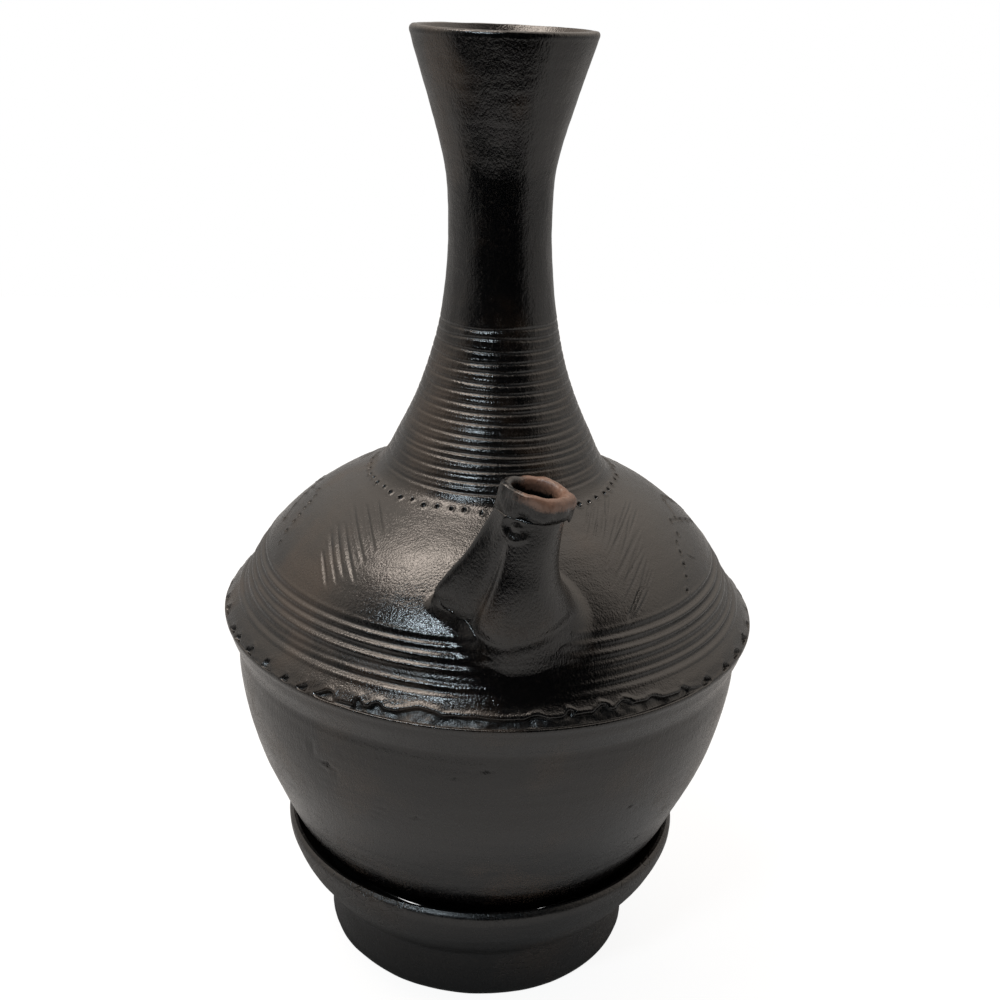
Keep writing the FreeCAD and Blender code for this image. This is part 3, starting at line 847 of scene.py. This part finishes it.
def burnished_clay(name, warmth=1.0, roughness=0.2, streak=(1, 1, 0.16), cracks=0.0):
    """Smoke-blackened clay rubbed to a dull shine, browner where the soot is thin or worn off."""
    f = Finish(name)
    streaks = f.noise(600, 3, 0.6, streak)
    patches = f.noise(30, 4, 0.6)
    grain = f.noise(1800, 2, 0.6, (1, 1, 0.6))
    cloud = f.noise(120, 5, 0.65)
    hollow = f.mask(f.attribute("relief") * -1.0, 0.05, 0.3)
    gloss = f.attribute("gloss")
    brown = f.mask(patches + f.attribute("brown") * 0.22, 0.5, 0.74) * warmth
    base = f.blend(brown, colour(0.003, 0.003, 0.0033), colour(0.026, 0.0165, 0.0105))
    base = f.blend(f.mask(grain, 0.56, 0.72) * 0.5, base, colour(0.02, 0.016, 0.013))
    worn = f.mask(f.attribute("worn") + (cloud - 0.5) * 0.9 + (grain - 0.5) * 0.4, 0.35, 0.75)
    base = f.blend(worn, base, colour(0.19, 0.105, 0.072))
    shine = roughness + (cloud - 0.5) * 0.2 + (streaks - 0.5) * 0.16 + (grain - 0.5) * 0.5
    shine = shine + hollow * 0.14 + (worn + brown) * 0.1 - gloss * 0.11
    bumps = f.raise_by(grain, 0.00012, 1.0)
    bumps = f.raise_by(streaks, 0.00012, 0.5, bumps)
    bumps = f.raise_by(cloud, 0.0003, 0.3, bumps)
    if cracks:
        settings = {"feature": "DISTANCE_TO_EDGE"}
        inputs = {"Vector": f.place((1, 1, 1.6)), "Scale": 260.0}
        cells = f.add("ShaderNodeTexVoronoi", settings, inputs, output="Distance")
        net = (1.0 - f.mask(cells, 0.01, 0.09)) * f.mask(patches, 0.48, 0.62) * cracks
        bumps = f.raise_by(net * -1.0, 0.00014, 1.0, bumps)
        shine = shine - net * 0.1
    looks = {"Base Color": base, "Roughness": shine, "Normal": bumps, "IOR": 1.65}
    f.finish(f.add("ShaderNodeBsdfPrincipled", None, looks))
    return f.material


def ready(piece, body, node, material):
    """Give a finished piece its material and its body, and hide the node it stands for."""
    piece.data.materials.append(material)
    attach(piece, body)
    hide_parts(node)


# The camera's place round the pot, its height and its view, as found from the pot's circles.
CAMERA_AZIMUTH, CAMERA_DISTANCE, CAMERA_HEIGHT = math.radians(-7.0), 0.3839, 0.2980
CAMERA_PITCH, CAMERA_ROLL = 0.3732, 0.03938
CAMERA_LENS, CAMERA_SHIFT = 48.27, 0.0083


def from_camera_side(azimuth_degrees, elevation_degrees=0.0):
    """Direction out from the pot. Azimuth 0 is towards the camera and grows to the right."""
    a, e = CAMERA_AZIMUTH + math.radians(azimuth_degrees), math.radians(elevation_degrees)
    return Vector((math.sin(a) * math.cos(e), -math.cos(a) * math.cos(e), math.sin(e)))


def make_camera():
    forward, up = -from_camera_side(0), Vector((0, 0, 1))
    right = forward.cross(up)
    look = forward * math.cos(CAMERA_PITCH) - up * math.sin(CAMERA_PITCH)
    top = forward * math.sin(CAMERA_PITCH) + up * math.cos(CAMERA_PITCH)
    x = right * math.cos(CAMERA_ROLL) + top * math.sin(CAMERA_ROLL)
    y = top * math.cos(CAMERA_ROLL) - right * math.sin(CAMERA_ROLL)
    lens = bpy.data.cameras.new("camera")
    lens.lens, lens.sensor_width, lens.shift_x = CAMERA_LENS, 36, CAMERA_SHIFT
    camera = bpy.data.objects.new("camera", lens)
    turn = Matrix((x, y, -look)).transposed().to_4x4()
    standing = from_camera_side(0) * CAMERA_DISTANCE + up * CAMERA_HEIGHT
    camera.matrix_world = Matrix.Translation(standing) @ turn
    bpy.context.scene.collection.objects.link(camera)
    bpy.context.scene.camera = camera


def light_path(tree, names):
    """Which kind of ray asks, one wire for each name."""
    return [add_node(tree, "ShaderNodeLightPath", output=name) for name in names]


def make_floor():
    """A pale table top that stays white and keeps a soft shadow. What the pot mirrors of it has
    painted shade:
    it is a little greyer all over, painted dark round the stand's foot as a contact shadow, and
    painted dark far out on the camera's side, like the room there."""
    bm = bmesh.new()
    bmesh.ops.create_grid(bm, x_segments=1, y_segments=1, size=0.9)
    floor = mesh_from(bm, "floor")
    f = Finish("floor_white")
    kinds = ("Is Camera Ray", "Is Glossy Ray", "Is Transmission Ray")
    camera_ray, glossy_ray, through_ray = light_path(f.tree, kinds)
    place = f.add("ShaderNodeTexCoord", output=3)
    out = f.add("ShaderNodeVectorMath", {"operation": "LENGTH"}, {0: place}, output="Value")
    ahead = turned_towards(f.tree, place, from_camera_side(-12))
    side = ahead / out
    # painted dark reflection: far out on the camera's side the floor, as the pot mirrors it, is
    # darkened to stand in for the dark room there
    painted_dark_room = f.mask(side, within(76), within(50)) * f.mask(out, 0.25, 0.45)
    # painted contact shadow: the floor as the pot mirrors it is darkened within about 55 to 100 mm
    # of the axis, round the stand's foot
    under = 1.0 - f.mask(out, 0.055, 0.1)
    glow = f.add("ShaderNodeEmission", None, {"Color": colour(1, 1, 1), "Strength": 1.2})
    plain = f.add("ShaderNodeBsdfDiffuse", None, {"Color": colour(0.8, 0.8, 0.8)})
    black = f.add("ShaderNodeBsdfDiffuse", None, {"Color": colour(0, 0, 0)})
    shown = (camera_ray + through_ray) * 0.75 + glossy_ray * 0.3
    lit = f.add("ShaderNodeMixShader", None, {0: shown, 1: plain, 2: glow})
    # painted shade in what the pot mirrors of the floor: black is mixed in for glossy rays, a little
    # everywhere and most far out in front and round the foot
    painted_reflection_shade = (0.42 + painted_dark_room * 0.58 + under * 0.35) * glossy_ray
    mixed = f.add("ShaderNodeMixShader", None, {0: painted_reflection_shade, 1: lit, 2: black})
    f.finish(mixed)
    floor.data.materials.append(f.material)


def make_world():
    """White for the eye, and for the pot a room with warm walls that is dark at the camera."""
    world = bpy.data.worlds.new("studio")
    world.use_nodes = True
    tree = world.node_tree
    tree.nodes.clear()
    bpy.context.scene.world = world
    way = add_node(tree, "ShaderNodeTexCoord", output="Generated")
    ahead = turned_towards(tree, way, from_camera_side(1, 22))
    dark = smooth_mask(tree, ahead, within(82), within(48))
    above = turned_towards(tree, way, (0, 0, 0.5))
    stops = ((0.41, colour(0.27, 0.26, 0.25)), (0.57, colour(0.38, 0.355, 0.33)),
             (0.69, colour(0.64, 0.57, 0.5)), (0.8, colour(0.82, 0.72, 0.63)),
             (0.9, colour(0.98, 0.87, 0.77)))
    walls = add_node(tree, "ShaderNodeValToRGB", {"stops": stops}, {0: above + 0.5})
    walls = blend(tree, dark, walls, colour(0, 0, 0))
    room = add_node(tree, "ShaderNodeBackground", None, {"Color": walls, "Strength": 1.25})
    white = add_node(tree, "ShaderNodeBackground", None, {"Color": colour(1, 1, 1), "Strength": 1.0})
    camera_ray, through_ray = light_path(tree, ("Is Camera Ray", "Is Transmission Ray"))
    shown = camera_ray + through_ray
    paint = add_node(tree, "ShaderNodeMixShader", None, {0: shown, 1: room, 2: white})
    add_node(tree, "ShaderNodeOutputWorld", None, {"Surface": paint}, output=None)


def make_lamp(name, azimuth, elevation, distance, width, height, power, tint):
    """A soft lamp that looks at the pot's shoulder."""
    lamp = bpy.data.lights.new(name, "AREA")
    lamp.shape, lamp.size, lamp.size_y = "RECTANGLE", width, height
    lamp.energy, lamp.color = power, tint
    holder = bpy.data.objects.new(name, lamp)
    way = from_camera_side(azimuth, elevation)
    target = Vector((0, -0.03, 0.15))
    holder.location = target + way * distance
    holder.rotation_euler = (-way).to_track_quat("-Z", "Y").to_euler()
    bpy.context.scene.collection.objects.link(holder)


make_camera()
make_floor()
make_world()
make_lamp("window_left_above", -86, 69, 0.9, 0.32, 0.5, 4.4, (1.0, 0.87, 0.76))
make_lamp("window_front_left", -33, 41, 1.1, 0.19, 0.1, 3.4, (0.78, 0.91, 1.0))
bpy.context.scene.view_settings.view_transform = "Standard"

pot_clay = burnished_clay("burnished_clay_pot")
stand_clay = burnished_clay("smoothed_clay_stand", 0.6, 0.36, (0.16, 0.16, 1), 1.0)
lip_clay = burnished_clay("worn_clay_lip", 1.0, 0.32)

# Node, its low and high end, and the spacing and number of steps of its mesh.
POT_PIECES = (
    ("lower_bowl", 13.3, 102.0, 0.55, 352),
    ("flange_band", 102.0, 120.6, 0.26, 880),
    ("shoulder_dome", 120.6, 141.0, 0.36, 1080),
    ("shoulder_dome", 141.0, 159.2, 0.36, 840),
    ("neck_cone", 159.2, 207.0, 0.32, 400),
    ("neck_tube", 207.0, 246.0, 0.6, 256),
    ("mouth_flare", 246.0, 285.0, 0.55, 320),
)
for node, low, high, spacing, steps in POT_PIECES:
    piece = shape_pot_piece("%s_clay_%d" % (node, low), low, high, spacing, steps)
    ready(piece, "pot", node, pot_clay)
ready(shape_spout_tube(), "pot", "spout_tube", pot_clay)
ready(shape_spout_collar(), "pot", "spout_collar", lip_clay)
ready(shape_handle(), "pot", "handle_strap", pot_clay)
foot = shape_stand_piece("stand_foot_clay", 0.0, 19.0, 0.6, 400)
ready(foot, "stand", "stand_foot", stand_clay)
cup = shape_stand_piece("stand_cup_clay", 19.0, 41.7, 0.5, 448)
ready(cup, "stand", "stand_cup", stand_clay)
